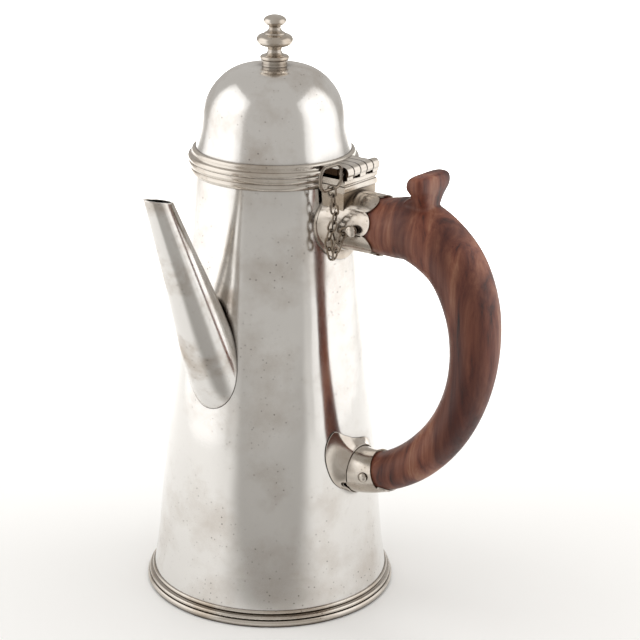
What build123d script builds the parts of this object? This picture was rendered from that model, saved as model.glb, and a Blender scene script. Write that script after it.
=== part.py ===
"""Side-handled silver chocolate pot with a wooden handle, a domed lid and a chained hinge pin.

Lengths are in millimetres and angles in degrees. The origin is the centre of the foot's underside.
+Z is up, +X points to the handle and the hinge, and -Y points to the spout.
"""
from build123d import *
from math import cos, pi, radians, sin
import os

# Clearances
SOLDER_GAP = 0.05        # between soldered pieces whose faces are curved
RUNNING_GAP = 0.06       # radial, between a turning or sliding shaft and its bore
LID_GAP = 0.15           # between the lid's underside and the mouth of the body
KNUCKLE_GAP = 0.2        # between two neighbouring hinge knuckles
LINK_GAP = 0.2           # between two links of the chain that hang in each other

# Foot moulding, from the floor up
TORUS_HEIGHT = 2.6
OVOLO_HEIGHT = 1.9
BEAD_HEIGHT = 1.8
FOOT_HEIGHT = TORUS_HEIGHT + OVOLO_HEIGHT + BEAD_HEIGHT
FOOT_STEP = 0.55         # depth of the grooves between the foot's bands

# Body: one seamed cone of sheet silver
WALL = 1.2
MOUTH_Z = 182.0
RIM_HEIGHT = 5.4         # of the rim moulding, down from the mouth
RIM_LINE_Z = MOUTH_Z - RIM_HEIGHT
RIM_LINE_RADIUS = 32.2   # of the wall under the rim moulding
FOOT_LINE_RADIUS = 48.3  # where the straight cone would meet the top of the foot
FLARE = 0.7              # the wall's extra radius where it spreads into the foot
FLARE_TOP_Z = 19.0
WALL_BOTTOM_Z = 0.8


def wall_radius(z):
    """Outer radius of the straight cone at height z."""
    slope = (RIM_LINE_RADIUS - FOOT_LINE_RADIUS) / (RIM_LINE_Z - FOOT_HEIGHT)
    return FOOT_LINE_RADIUS + slope * (z - FOOT_HEIGHT)


FLARE_RADIUS = wall_radius(FOOT_HEIGHT) + FLARE
BEAD_RADIUS = FLARE_RADIUS + 0.9
OVOLO_RADIUS = FLARE_RADIUS + 2.3
FOOT_RADIUS = FLARE_RADIUS + 3.0
BASE_PLATE_Z = 3.2
BASE_PLATE_THICKNESS = 1.2
BASE_PLATE_RISE = 1.6    # height of its shallow dome

# Hinge
KNUCKLE_COUNT = 5
BARREL_RADIUS = 2.4
BARREL_HALF_LENGTH = 10.5
PIN_RADIUS = 1.0
PIN_END = 1.8            # how far the pin stands out of the barrel
HINGE_Z = MOUTH_Z + BARREL_RADIUS + 0.2
LEAF_TOP_Z = HINGE_Z + 1.3
LEAF_THICKNESS = 2.6

# Rim moulding, hinge block and bracket
REED_LINE_Z = RIM_LINE_Z + 0.52 * RIM_HEIGHT  # groove between the two reeds
LOWER_REED_RADIUS = RIM_LINE_RADIUS + 1.1
UPPER_REED_RADIUS = LOWER_REED_RADIUS + 0.7
HINGE_X = UPPER_REED_RADIUS + 7.8
BLOCK_FACE_X = HINGE_X + 1.1
BLOCK_HALF_WIDTH = BARREL_HALF_LENGTH + 0.3
REED_EDGE = 0.7          # rounding of the reeds where they run across the block
REED_GROOVE = 0.5
BRACKET_FACE_X = BLOCK_FACE_X - 0.6

# Pull loop on the pin
LOOP_WIRE_RADIUS = 0.65
LOOP_LENGTH = 13.2       # centre line, along Y
LOOP_HEIGHT = 9.0        # centre line, along Z
LOOP_CORNER = 3.4
LOOP_START_Y = -BARREL_HALF_LENGTH - 1.1  # centre line of the side next to the barrel

# Lid
FLANGE_RADIUS = UPPER_REED_RADIUS + 0.1
FLANGE_EDGE_Z = MOUTH_Z + 1.1
OVOLO_EDGE = (FLANGE_RADIUS - 0.6, MOUTH_Z + 2.1)
CAVETTO_EDGE = (FLANGE_RADIUS - 1.6, MOUTH_Z + 3.3)
DOME_LINE_Z = MOUTH_Z + 4.8
DOME_SEAT_Z = MOUTH_Z + 2.2
DOME_BASE_RADIUS = FLANGE_RADIUS - 3.1
DOME_HEIGHT = 32.4
DOME_TOP_Z = DOME_LINE_Z + DOME_HEIGHT
DOME_WALL = 0.9
DOME_CURVE = (           # the dome's outline, in shares of its base radius and of its height
    (0.945, 0.238),
    (0.832, 0.654),
    (0.542, 0.941),
)
BEZEL_GAP = 0.4          # between the lid's bezel and the mouth
BEZEL_RADIUS = wall_radius(MOUTH_Z) - WALL - BEZEL_GAP
BEZEL_WALL = 0.9
BEZEL_DEPTH = 4.4
BEZEL_TAPER = 0.25

# Finial and its socket; each height is counted from the one before
SOCKET_RADIUS = 5.0
SOCKET_FOOT_RADIUS = 5.4
SOCKET_RISE = 2.1
SOCKET_TOP_Z = DOME_TOP_Z + SOCKET_RISE
PLUG_RADIUS = 3.7
PLUG_LENGTH = 7.7
PLUG_BORE = 1.9
FINIAL_BASE_RADIUS = 5.55
FINIAL_BASE_Z = SOCKET_TOP_Z + 0.9
LOWER_NECK_RADIUS = 2.8
LOWER_NECK_Z = FINIAL_BASE_Z + 2.9
KNOP_RADIUS = 7.2
KNOP_Z = LOWER_NECK_Z + 4.1
COLLAR_RADIUS = 3.6
UPPER_NECK_RADIUS = 2.4
UPPER_NECK_Z = KNOP_Z + 4.8
BUTTON_RADIUS = 4.45
BUTTON_Z = UPPER_NECK_Z + 2.6
FINIAL_TOP_Z = BUTTON_Z + 2.5

# Spout: stations up its centre line, each (distance from the wall, z, lean from upright, outer radius)
SPOUT_STATIONS = (
    (-18.5, 89.0, 58.0, 12.4),
    (-8.6, 96.4, 42.0, 12.4),
    (0.4, 110.0, 26.0, 11.5),
    (18.9, 144.3, 24.2, 8.3),
    (39.6, 182.4, 24.2, 4.9),
)
SPOUT_WALL = 0.8
SPOUT_REACH = 37.9       # of the mouth's middle, from the wall
SPOUT_TIP_Z = 179.0
SPOUT_TIP_TILT = 12.0    # the mouth falls towards the body
POUR_HOLE_RADIUS = 7.0
POUR_HOLE_Z = 99.0

# Upper handle socket
FERRULE_RADIUS = 12.0
FERRULE_WALL = 0.7
FERRULE_ROOT_RADIUS = 12.25
FERRULE_LENGTH = 17.4    # from the wall to the notches between its lobes
LOBE_REACH = 0.95        # share of half the lobes' pitch that they stand out
LOBE_COUNT = 8
LOBE_START = 32.0        # angle of the first lobe round the upper ferrule
CREASE_LENGTH = 8.5      # of the groove that runs back from each notch
CREASE_RADIUS = 0.8
CREASE_DEPTH = 0.35
SOCKET_AXIS_Z = RIM_LINE_Z - FERRULE_ROOT_RADIUS - 0.35
SOCKET_WALL_X = wall_radius(SOCKET_AXIS_Z)
FERRULE_ROOT_X = SOCKET_WALL_X + 5.1
FERRULE_NOTCH_X = SOCKET_WALL_X + FERRULE_LENGTH
PLATE_RADIUS = FERRULE_ROOT_RADIUS + 1.65
PLATE_Z = SOCKET_AXIS_Z - 2.8
PLATE_THICKNESS = 1.1
PLATE_COVE = (           # how it spreads: (distance from the wall, extra radius, drop from the axis)
    (-2.2, 1.45, 2.8),
    (0.6, 0.75, 1.5),
    (5.1, 0.25, 0.3),
)
RIVET_X = FERRULE_NOTCH_X - 2.2
RIVET_Z = SOCKET_AXIS_Z - 0.2
RIVET_SHANK_RADIUS = 0.95
RIVET_HEAD_RADIUS = 2.35
RIVET_HEAD_HEIGHT = 1.5
RIVET_NECK = 2.1         # room under the head for the chain's last link

# Lower handle socket: stations along it, each (distance from the wall, rise, lean upwards, outer radius)
LOWER_SOCKET_Z = 60.0
LOWER_WALL_X = wall_radius(LOWER_SOCKET_Z)
LOWER_STATIONS = (
    (2.4, 0.1, 3.0, 9.75),
    (8.3, 0.6, 9.0, 8.95),
    (14.0, 2.2, 17.0, 8.7),
)
LOWER_WALL = 0.65
LOWER_LOBE_START = 18.0
BELL_END_RADIUS = 9.3
BELL_STATIONS = (        # (distance from the wall, half width, ear's half width, ear's rise)
    (-4.7, 16.3, 11.2, 18.3),
    (-2.2, 14.0, 9.9, 15.8),
    (0.2, 11.6, 8.2, 12.2),
)
BELL_NOTCH_RISE = 9.9    # between its two ears
BELL_DROP = 10.0
LOWER_RIVET_X = LOWER_WALL_X + 10.2
LOWER_RIVET_Z = LOWER_SOCKET_Z + 1.2
LOWER_RIVET_HEAD_RADIUS = 2.0
LOWER_RIVET_HEAD_HEIGHT = 1.3

# Handle: points on its centre line, each (distance from the wall, share of the height from the lower
# socket's axis to the upper one's, radius)
HANDLE_STATIONS = (
    (22.2, 1.0, 11.2),
    (27.7, 1.005, 11.75),
    (37.2, 1.01, 12.4),
    (52.4, 0.919, 11.6),
    (59.6, 0.775, 10.8),
    (60.6, 0.611, 9.7),
    (56.2, 0.433, 8.8),
    (46.6, 0.262, 8.4),
    (32.3, 0.119, 8.25),
    (18.1, 0.035, 7.95),
    (6.8, 0.003, 7.7),
)
TENON_START_X = SOCKET_WALL_X + 6.1
THUMB_SIDE = (           # its side view: (distance from the wall, rise above the socket's axis)
    (32.8, 13.0),
    (39.0, 16.0),
    (37.1, 20.6),
    (39.2, 24.3),
    (41.8, 25.0),
    (44.1, 22.2),
)
THUMB_FRONT = (          # its front view: (half width, rise above the socket's axis)
    (6.3, 11.5),
    (7.6, 15.5),
    (9.5, 20.0),
    (8.4, 23.4),
    (5.5, 24.9),
    (0.0, 25.4),
)
THUMB_ROOT = 3.0         # its lower end inside the handle, above the socket's axis

# Chain
LINK_LENGTH = 5.6
LINK_WIDTH = 3.8
LINK_WIRE = 0.8
FIRST_LINK_TURN = 20.0   # how far the top link is turned about the chain
HALF_TURNS = 3           # turned by its lowest link, with which it stands edge-on
UPPER_JOINTS = (         # where two links meet down to the lowest point, from the pull loop's near side
    (0.0, -6.2, -3.5),
    (0.0, -5.5, -7.25),
    (0.1, -4.7, -10.95),
    (0.3, -4.0, -14.7),
    (-0.3, -3.7, -18.4),
    (-1.8, -3.8, -21.8),
    (-2.6, -4.0, -25.5),
    (-2.1, -4.1, -29.2),
    (-0.8, -4.2, -32.7),
)
LOWER_JOINTS = (         # from there up to the link on the rivet, from the rivet
    (-6.2, -3.8, -11.6),
    (-5.0, -4.9, -8.2),
    (-3.9, -4.1, -4.7),
    (-3.6, -1.75, -1.85),
)
EYE_END = (-4.5, -2.2, -1.4)  # the link on the rivet's neck points to here, from the rivet
EYE_LENGTH = 7.4


def cone_core(gap):
    """Solid cone that stands gap outside the body's wall, used to fit pieces against it."""
    bottom = 0
    top = MOUTH_Z + FOOT_HEIGHT
    with BuildPart() as core:
        with BuildSketch(Plane.XZ):
            Polygon(
                (0, bottom),
                (wall_radius(bottom) + gap, bottom),
                (wall_radius(top) + gap, top),
                (0, top),
                align=None,
            )
        revolve(axis=Axis.Z)
    return core.part


def ferrule_form(gap):
    """Solid form of the upper ferrule up to its notches, standing gap outside it."""
    with BuildPart() as form:
        with BuildSketch(Plane.XZ):
            with BuildLine():
                side_z = SOCKET_AXIS_Z + FERRULE_RADIUS + gap
                root_z = SOCKET_AXIS_Z + FERRULE_ROOT_RADIUS + gap
                root = Line((RIM_LINE_RADIUS - 6, root_z), (FERRULE_ROOT_X - 4, root_z))
                neck = Spline(root @ 1, (FERRULE_ROOT_X + 3, side_z), tangents=((1, 0), (1, 0)))
                side = Line(neck @ 1, (FERRULE_NOTCH_X, side_z))
                Polyline(
                    side @ 1,
                    (FERRULE_NOTCH_X, SOCKET_AXIS_Z),
                    (RIM_LINE_RADIUS - 6, SOCKET_AXIS_Z),
                    root @ 0,
                )
            make_face()
        revolve(axis=Axis(origin=(0, 0, SOCKET_AXIS_Z), direction=(1, 0, 0)))
    return form.part


def plate_cove(gap):
    """Solid form of the cove that spreads from the upper ferrule to the wall, gap outside it."""
    with BuildPart() as form:
        for reach, extra, drop in PLATE_COVE:
            with BuildSketch(Plane.YZ.offset(SOCKET_WALL_X + reach)):
                with Locations((0, SOCKET_AXIS_Z - drop)):
                    Circle(FERRULE_ROOT_RADIUS + extra + gap)
        loft()
    return form.part


def write(node, solid):
    """Labels a finished piece and writes it to its own file."""
    solid.label = node
    export_step(solid, f"parts/{node}.step")


os.makedirs("parts", exist_ok=True)

# ---------------------------------------------------------------- body shell
with BuildPart() as body_shell:
    with BuildSketch(Plane.XZ):
        with BuildLine():
            cone_slope = (wall_radius(FLARE_TOP_Z) - wall_radius(MOUTH_Z), FLARE_TOP_Z - MOUTH_Z)
            outer_side = Line((wall_radius(MOUTH_Z), MOUTH_Z), (wall_radius(FLARE_TOP_Z), FLARE_TOP_Z))
            outer_flare = Spline(
                outer_side @ 1,
                (FLARE_RADIUS, FOOT_HEIGHT),
                tangents=(cone_slope, (0.16, -1)),
            )
            outer_skirt = Line(outer_flare @ 1, (FLARE_RADIUS, WALL_BOTTOM_Z))
            hem = Line(outer_skirt @ 1, (FLARE_RADIUS - WALL, WALL_BOTTOM_Z))
            inner_skirt = Line(hem @ 1, (FLARE_RADIUS - WALL, FOOT_HEIGHT))
            inner_flare = Spline(
                inner_skirt @ 1,
                (wall_radius(FLARE_TOP_Z) - WALL, FLARE_TOP_Z),
                tangents=((-0.16, 1), (-cone_slope[0], -cone_slope[1])),
            )
            inner_side = Line(inner_flare @ 1, (wall_radius(MOUTH_Z) - WALL, MOUTH_Z))
            Line(inner_side @ 1, outer_side @ 0)
        make_face()
    revolve(axis=Axis.Z)
    with BuildSketch(Plane.XZ):
        with Locations((0, POUR_HOLE_Z)):
            Circle(POUR_HOLE_RADIUS)
    extrude(amount=FOOT_RADIUS, mode=Mode.SUBTRACT)
write("body_shell", body_shell.part)

# ---------------------------------------------------------------- base plate
base_plate_radius = FLARE_RADIUS - WALL - SOLDER_GAP
with BuildPart() as base_plate:
    with BuildSketch(Plane.XZ):
        with BuildLine():
            top_z = BASE_PLATE_Z + BASE_PLATE_THICKNESS
            under = Spline(
                (0, BASE_PLATE_Z + BASE_PLATE_RISE),
                (base_plate_radius - 2, BASE_PLATE_Z),
                tangents=((1, 0), (1, -0.07)),
            )
            edge = Polyline(under @ 1, (base_plate_radius, BASE_PLATE_Z), (base_plate_radius, top_z))
            lip = Line(edge @ 1, (base_plate_radius - 2, top_z))
            over = Spline(lip @ 1, (0, top_z + BASE_PLATE_RISE), tangents=((-1, 0.07), (-1, 0)))
            Line(over @ 1, under @ 0)
        make_face()
    revolve(axis=Axis.Z)
write("base_plate", base_plate.part)

# ---------------------------------------------------------------- foot moulding
foot_bore = FLARE_RADIUS + SOLDER_GAP
ovolo_top_z = TORUS_HEIGHT + OVOLO_HEIGHT
with BuildPart() as foot_moulding:
    with BuildSketch(Plane.XZ):
        with BuildLine():
            sole = Line((foot_bore, 0), (FOOT_RADIUS - FOOT_STEP, 0))
            torus = ThreePointArc(
                sole @ 1, (FOOT_RADIUS, TORUS_HEIGHT * 0.5), (FOOT_RADIUS - FOOT_STEP, TORUS_HEIGHT)
            )
            torus_step = Line(torus @ 1, (OVOLO_RADIUS - FOOT_STEP, TORUS_HEIGHT + 0.1))
            ovolo = ThreePointArc(
                torus_step @ 1,
                (OVOLO_RADIUS - 0.1, TORUS_HEIGHT + 0.85),
                (BEAD_RADIUS + 0.3, ovolo_top_z - 0.2),
            )
            ovolo_step = Line(ovolo @ 1, (BEAD_RADIUS - FOOT_STEP, ovolo_top_z + 0.2))
            bead = ThreePointArc(
                ovolo_step @ 1,
                (BEAD_RADIUS, (ovolo_top_z + FOOT_HEIGHT) / 2 + 0.1),
                (FLARE_RADIUS + 0.15, FOOT_HEIGHT),
            )
            Polyline(bead @ 1, (foot_bore, FOOT_HEIGHT), sole @ 0)
        make_face()
    revolve(axis=Axis.Z)
write("foot_moulding", foot_moulding.part)

# ---------------------------------------------------------------- rim moulding with hinge block
groove_bottom_z = REED_LINE_Z - REED_GROOVE / 2
groove_top_z = REED_LINE_Z + REED_GROOVE / 2
with BuildPart() as rim_moulding:
    for low_z, high_z in ((RIM_LINE_Z, groove_bottom_z), (groove_top_z, MOUTH_Z)):
        with BuildSketch(Plane.XY.offset(low_z)):
            Rectangle(BLOCK_FACE_X, 2 * BLOCK_HALF_WIDTH, align=(Align.MIN, Align.CENTER))
        extrude(amount=high_z - low_z)
        face_edges = rim_moulding.edges().filter_by(Axis.Y).group_by(Axis.X)[-1]
        fillet(face_edges.filter_by_position(Axis.Z, low_z - 0.01, high_z + 0.01), REED_EDGE)
    with BuildSketch(Plane.XY.offset(REED_LINE_Z - REED_GROOVE / 2)):
        Rectangle(
            BLOCK_FACE_X - REED_GROOVE,
            2 * (BLOCK_HALF_WIDTH - REED_GROOVE),
            align=(Align.MIN, Align.CENTER),
        )
    extrude(amount=REED_GROOVE)
    with BuildSketch(Plane.XZ):
        with BuildLine():
            lower_reed = ThreePointArc(
                (RIM_LINE_RADIUS, RIM_LINE_Z),
                (LOWER_REED_RADIUS, (RIM_LINE_Z + REED_LINE_Z) / 2),
                (LOWER_REED_RADIUS - REED_GROOVE / 2, REED_LINE_Z),
            )
            upper_reed = ThreePointArc(
                lower_reed @ 1,
                (UPPER_REED_RADIUS, (MOUTH_Z + REED_LINE_Z) / 2),
                (UPPER_REED_RADIUS - REED_GROOVE / 2, MOUTH_Z),
            )
            Polyline(
                upper_reed @ 1,
                (RIM_LINE_RADIUS / 2, MOUTH_Z),
                (RIM_LINE_RADIUS / 2, RIM_LINE_Z),
                lower_reed @ 0,
            )
        make_face()
    revolve(axis=Axis.Z)
    add(cone_core(SOLDER_GAP), mode=Mode.SUBTRACT)
write("rim_moulding", rim_moulding.part)

# ---------------------------------------------------------------- hinge bracket
with BuildPart() as hinge_bracket:
    with BuildSketch(Plane.XY.offset(SOCKET_AXIS_Z + 2)):
        Rectangle(BRACKET_FACE_X, 2 * BARREL_HALF_LENGTH, align=(Align.MIN, Align.CENTER))
    extrude(amount=RIM_LINE_Z - SOCKET_AXIS_Z - 2)
    add(ferrule_form(SOLDER_GAP), mode=Mode.SUBTRACT)
    add(cone_core(PLATE_THICKNESS + 2 * SOLDER_GAP), mode=Mode.SUBTRACT)
    add(plate_cove(SOLDER_GAP), mode=Mode.SUBTRACT)
write("hinge_bracket", hinge_bracket.part)

# ---------------------------------------------------------------- hinge knuckles
knuckle_pitch = 2 * BARREL_HALF_LENGTH / KNUCKLE_COUNT
knuckle_length = knuckle_pitch - KNUCKLE_GAP
bore_radius = PIN_RADIUS + RUNNING_GAP


def knuckle_middle(index):
    """Y of the middle of a knuckle, counted from the pull loop's end."""
    return -BARREL_HALF_LENGTH + (index + 0.5) * knuckle_pitch


with BuildPart() as body_knuckles:
    for index in range(0, KNUCKLE_COUNT, 2):
        with BuildSketch(Plane.XZ.offset(-knuckle_middle(index))):
            with Locations((HINGE_X, HINGE_Z)):
                Circle(BARREL_RADIUS)
            with Locations((HINGE_X, MOUTH_Z)):
                Rectangle(1.6 * BARREL_RADIUS, HINGE_Z - MOUTH_Z, align=(Align.CENTER, Align.MIN))
        extrude(amount=knuckle_length / 2, both=True)
    with BuildSketch(Plane.XZ):
        with Locations((HINGE_X, HINGE_Z)):
            Circle(bore_radius)
    extrude(amount=2 * BARREL_HALF_LENGTH, both=True, mode=Mode.SUBTRACT)
write("body_knuckles", body_knuckles.part)

# ---------------------------------------------------------------- lid flange
flange_bottom = MOUTH_Z + LID_GAP


def flange_form(gap, inner_radius, seat_radius):
    """The flange's ring, its moulded outer side moved out by gap and its bore set by the two radii."""
    with BuildPart() as form:
        with BuildSketch(Plane.XZ):
            with BuildLine():
                hollow_x = (OVOLO_EDGE[0] + CAVETTO_EDGE[0]) / 2 - 0.25
                hollow_z = (OVOLO_EDGE[1] + CAVETTO_EDGE[1]) / 2 - 0.25
                under_face = Line((inner_radius, flange_bottom), (FLANGE_RADIUS - 0.3 + gap, flange_bottom))
                ovolo = ThreePointArc(
                    under_face @ 1,
                    (FLANGE_RADIUS + gap, FLANGE_EDGE_Z),
                    (OVOLO_EDGE[0] + gap, OVOLO_EDGE[1]),
                )
                cavetto = ThreePointArc(
                    ovolo @ 1, (hollow_x + gap, hollow_z), (CAVETTO_EDGE[0] + gap, CAVETTO_EDGE[1])
                )
                roll = ThreePointArc(
                    cavetto @ 1,
                    (CAVETTO_EDGE[0] - 0.1 + gap, (CAVETTO_EDGE[1] + DOME_LINE_Z) / 2 + 0.15),
                    (DOME_BASE_RADIUS + SOLDER_GAP + 0.3 + gap, DOME_LINE_Z),
                )
                Polyline(
                    roll @ 1,
                    (seat_radius, DOME_LINE_Z),
                    (seat_radius, DOME_SEAT_Z),
                    (inner_radius, DOME_SEAT_Z),
                    under_face @ 0,
                )
            make_face()
        revolve(axis=Axis.Z)
    return form.part


with BuildPart() as lid_flange:
    add(flange_form(0, BEZEL_RADIUS - BEZEL_WALL, DOME_BASE_RADIUS + SOLDER_GAP))
write("lid_flange", lid_flange.part)

# ---------------------------------------------------------------- lid hinge leaf
leaf_end_x = HINGE_X - BARREL_RADIUS - KNUCKLE_GAP - 0.1
with BuildPart() as lid_hinge_leaf:
    with BuildSketch(Plane.XY.offset(LEAF_TOP_Z)):
        Rectangle(leaf_end_x, 2 * BARREL_HALF_LENGTH, align=(Align.MIN, Align.CENTER))
    extrude(amount=-LEAF_THICKNESS)
    for index in range(1, KNUCKLE_COUNT, 2):
        with BuildSketch(Plane.XZ.offset(-knuckle_middle(index))):
            with Locations((HINGE_X, HINGE_Z)):
                Circle(BARREL_RADIUS)
            with Locations((leaf_end_x - 1, LEAF_TOP_Z)):
                Rectangle(HINGE_X - leaf_end_x + 1, LEAF_THICKNESS, align=(Align.MIN, Align.MAX))
        extrude(amount=knuckle_length / 2, both=True)
    with BuildSketch(Plane.XZ):
        with Locations((HINGE_X, HINGE_Z)):
            Circle(bore_radius)
    extrude(amount=2 * BARREL_HALF_LENGTH, both=True, mode=Mode.SUBTRACT)
    with BuildSketch(Plane.XY.offset(flange_bottom)):
        Circle(DOME_BASE_RADIUS + 1)
    extrude(amount=DOME_LINE_Z - flange_bottom, mode=Mode.SUBTRACT)
    add(flange_form(SOLDER_GAP, BEZEL_RADIUS - BEZEL_WALL, DOME_BASE_RADIUS), mode=Mode.SUBTRACT)
write("lid_hinge_leaf", lid_hinge_leaf.part)

# ---------------------------------------------------------------- lid bezel
bezel_bottom_z = MOUTH_Z - BEZEL_DEPTH
with BuildPart() as lid_bezel:
    with BuildSketch(Plane.XZ):
        Polygon(
            (BEZEL_RADIUS, flange_bottom),
            (BEZEL_RADIUS - BEZEL_TAPER, bezel_bottom_z),
            (BEZEL_RADIUS - BEZEL_TAPER - BEZEL_WALL, bezel_bottom_z),
            (BEZEL_RADIUS - BEZEL_WALL, flange_bottom),
            align=None,
        )
    revolve(axis=Axis.Z)
write("lid_bezel", lid_bezel.part)

# ---------------------------------------------------------------- lid dome
socket_bore = PLUG_RADIUS + RUNNING_GAP
dome_points = [(r * DOME_BASE_RADIUS, DOME_LINE_Z + h * DOME_HEIGHT) for r, h in DOME_CURVE]
side, shoulder, brow = dome_points
with BuildPart() as lid_dome:
    with BuildSketch(Plane.XZ):
        with BuildLine():
            skirt = Line((DOME_BASE_RADIUS, DOME_SEAT_Z + SOLDER_GAP), (DOME_BASE_RADIUS, DOME_LINE_Z))
            outside = Spline(
                skirt @ 1,
                *dome_points,
                (0, DOME_TOP_Z),
                tangents=((-0.28, 1), (-1, 0)),
            )
            crown = Line(outside @ 1, (0, DOME_TOP_Z - DOME_WALL))
            inside = Spline(
                crown @ 1,
                (brow[0] - DOME_WALL * 0.33, brow[1] - DOME_WALL),
                (shoulder[0] - DOME_WALL * 0.8, shoulder[1] - DOME_WALL * 0.6),
                (side[0] - DOME_WALL, side[1]),
                (DOME_BASE_RADIUS - DOME_WALL, DOME_LINE_Z),
                tangents=((1, 0), (0.28, -1)),
            )
            Polyline(inside @ 1, (DOME_BASE_RADIUS - DOME_WALL, DOME_SEAT_Z + SOLDER_GAP), skirt @ 0)
        make_face()
    revolve(axis=Axis.Z)
    with BuildSketch(Plane.XY.offset(DOME_LINE_Z)):
        Circle(socket_bore)
    extrude(amount=DOME_TOP_Z - DOME_LINE_Z + 1, mode=Mode.SUBTRACT)
write("lid_dome", lid_dome.part)

# ---------------------------------------------------------------- finial socket
with BuildPart() as dome_filled:
    with BuildSketch(Plane.XZ):
        with BuildLine():
            Spline(
                (DOME_BASE_RADIUS, DOME_LINE_Z),
                *dome_points,
                (0, DOME_TOP_Z),
                tangents=((-0.28, 1), (-1, 0)),
            )
            Polyline((0, DOME_TOP_Z), (0, DOME_LINE_Z), (DOME_BASE_RADIUS, DOME_LINE_Z))
        make_face()
    revolve(axis=Axis.Z)
with BuildPart() as finial_socket:
    with BuildSketch(Plane.XZ):
        with BuildLine():
            socket_lip = Line((socket_bore, SOCKET_TOP_Z), (SOCKET_RADIUS, SOCKET_TOP_Z))
            socket_side = Line(socket_lip @ 1, (SOCKET_RADIUS, DOME_TOP_Z + 0.7))
            socket_foot = ThreePointArc(
                socket_side @ 1,
                (SOCKET_RADIUS + 0.15, DOME_TOP_Z + 0.2),
                (SOCKET_FOOT_RADIUS, DOME_TOP_Z - 0.05),
            )
            Polyline(
                socket_foot @ 1,
                (SOCKET_FOOT_RADIUS, DOME_TOP_Z - 1.5),
                (socket_bore, DOME_TOP_Z - 1.5),
                socket_lip @ 0,
            )
        make_face()
    revolve(axis=Axis.Z)
    add(dome_filled.part, mode=Mode.SUBTRACT)
write("finial_socket", finial_socket.part)

# ---------------------------------------------------------------- finial and plug
with BuildPart() as finial:
    with BuildSketch(Plane.XZ):
        with BuildLine():
            seat = Line((0, SOCKET_TOP_Z), (FINIAL_BASE_RADIUS - 0.5, SOCKET_TOP_Z))
            base_bead = ThreePointArc(
                seat @ 1,
                (FINIAL_BASE_RADIUS, FINIAL_BASE_Z),
                (FINIAL_BASE_RADIUS - 0.7, FINIAL_BASE_Z + 0.8),
            )
            base_step = Line(base_bead @ 1, (LOWER_NECK_RADIUS + 1.0, FINIAL_BASE_Z + 1.1))
            lower_neck = ThreePointArc(
                base_step @ 1,
                (LOWER_NECK_RADIUS, LOWER_NECK_Z),
                (LOWER_NECK_RADIUS + 0.7, KNOP_Z - 2.5),
            )
            knop = Spline(
                lower_neck @ 1,
                (KNOP_RADIUS - 1.1, KNOP_Z - 1.7),
                (KNOP_RADIUS, KNOP_Z),
                (KNOP_RADIUS - 1.1, KNOP_Z + 1.6),
                (COLLAR_RADIUS + 0.9, KNOP_Z + 2.4),
                tangents=((1, 0.1), (-1, 0.35)),
            )
            collar = ThreePointArc(
                knop @ 1, (COLLAR_RADIUS + 0.5, KNOP_Z + 3.0), (COLLAR_RADIUS - 0.4, KNOP_Z + 3.2)
            )
            upper_neck = ThreePointArc(
                collar @ 1,
                (UPPER_NECK_RADIUS, UPPER_NECK_Z),
                (UPPER_NECK_RADIUS + 0.5, BUTTON_Z - 1.6),
            )
            button = Spline(
                upper_neck @ 1,
                (BUTTON_RADIUS - 0.35, BUTTON_Z - 1.0),
                (BUTTON_RADIUS, BUTTON_Z),
                (BUTTON_RADIUS - 1.2, BUTTON_Z + 1.7),
                (0, FINIAL_TOP_Z),
                tangents=((1, 0.1), (-1, 0)),
            )
            Line(button @ 1, seat @ 0)
        make_face()
    revolve(axis=Axis.Z)
write("finial", finial.part)

with BuildPart() as finial_plug:
    with BuildSketch(Plane.XY.offset(SOCKET_TOP_Z - PLUG_LENGTH)):
        Circle(PLUG_RADIUS)
        Circle(PLUG_BORE, mode=Mode.SUBTRACT)
    extrude(amount=PLUG_LENGTH)
    bottom_edges = finial_plug.edges().filter_by(GeomType.CIRCLE).group_by(Axis.Z)[0]
    chamfer(bottom_edges.sort_by(SortBy.RADIUS)[-1], 0.4)
write("finial_plug", finial_plug.part)


# ---------------------------------------------------------------- spout
def spout_form(inset):
    """The spout's tapered form, with every radius reduced by inset."""
    with BuildPart() as form:
        for reach, z, lean, radius in SPOUT_STATIONS:
            upright = (0, -sin(radians(lean)), cos(radians(lean)))
            with BuildSketch(Plane(origin=(0, -wall_radius(z) - reach, z), x_dir=(1, 0, 0), z_dir=upright)):
                Circle(radius - inset)
        loft()
    return form.part


with BuildPart() as spout:
    add(spout_form(0))
    add(spout_form(SPOUT_WALL), mode=Mode.SUBTRACT)
    add(cone_core(SOLDER_GAP), mode=Mode.SUBTRACT)
    tip_y = -wall_radius(SPOUT_TIP_Z) - SPOUT_REACH
    tip_up = (0, sin(radians(SPOUT_TIP_TILT)), cos(radians(SPOUT_TIP_TILT)))
    split(
        bisect_by=Plane(origin=(0, tip_y, SPOUT_TIP_Z), x_dir=(1, 0, 0), z_dir=tip_up),
        keep=Keep.BOTTOM,
    )
write("spout", spout.part)


# ---------------------------------------------------------------- scalloped sockets
def scallops(notch_plane, outer_radius, wall, start_angle):
    """Ring of rounded lobes that stand out past notch_plane along its normal."""
    pitch = 2 * pi * outer_radius / LOBE_COUNT
    lobe_radius = pitch / 2
    with BuildPart() as ring:
        with BuildSketch(notch_plane.offset(-lobe_radius)):
            Circle(outer_radius)
            Circle(outer_radius - wall, mode=Mode.SUBTRACT)
        extrude(amount=2 * lobe_radius)
    with BuildPart() as discs:
        for index in range(LOBE_COUNT):
            angle = radians(start_angle + index * 360 / LOBE_COUNT)
            outward = notch_plane.x_dir * cos(angle) + notch_plane.y_dir * sin(angle)
            with BuildSketch(Plane(origin=notch_plane.origin, x_dir=notch_plane.z_dir, z_dir=outward)):
                Ellipse(LOBE_REACH * lobe_radius, lobe_radius)
            extrude(amount=outer_radius + 2)
    return ring.part & discs.part


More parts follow.
